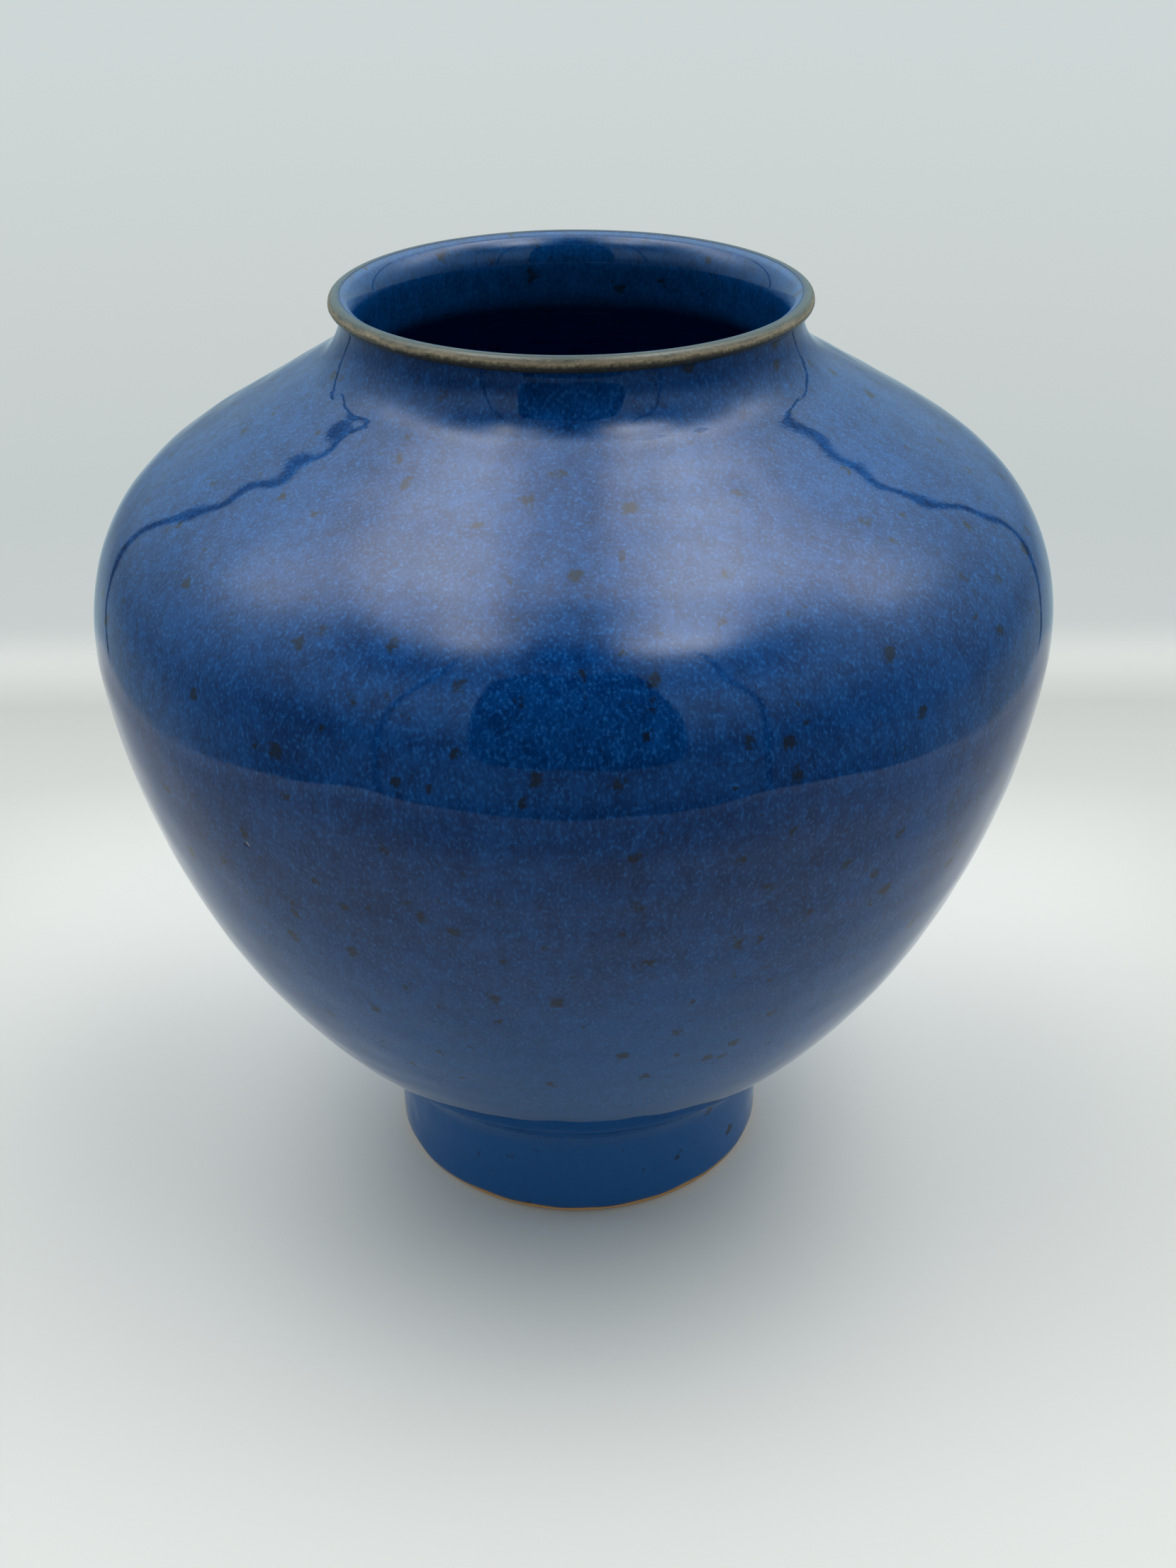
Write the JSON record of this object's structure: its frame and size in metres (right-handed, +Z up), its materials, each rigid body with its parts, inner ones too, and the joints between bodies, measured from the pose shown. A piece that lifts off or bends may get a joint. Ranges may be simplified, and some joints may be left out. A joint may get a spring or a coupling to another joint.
{
  "type": "vase",
  "caption": "Wheel-thrown stoneware vase with a wide high shoulder, a short neck with a rolled lip, a turned foot, and glossy blue glaze.",
  "frame": {"origin": "middle of the foot ring's underside, where the vase stands", "axes": "+Z up along the axis the vase was thrown about, from the foot to the mouth; +X and +Y are level and interchangeable, because the vase is round"},
  "size_m": [0.179, 0.179, 0.18],
  "materials": {
    "stoneware_clay": "bare buff fired stoneware, matt and slightly toothy",
    "blue_glaze": "glossy cobalt blue glaze with fine pale mottling and iron specks",
    "lip_glaze": "thin glaze that breaks grey-brown over the lip",
    "liner_glaze": "glossy deep blue glaze inside"
  },
  "bodies": {
    "root": {"foot_ring": "stoneware_clay", "thrown_body": "stoneware_clay", "rolled_lip": "stoneware_clay", "body_glaze": "blue_glaze", "lip_glaze": "lip_glaze", "liner_glaze": "liner_glaze"}
  },
  "joints": []
}
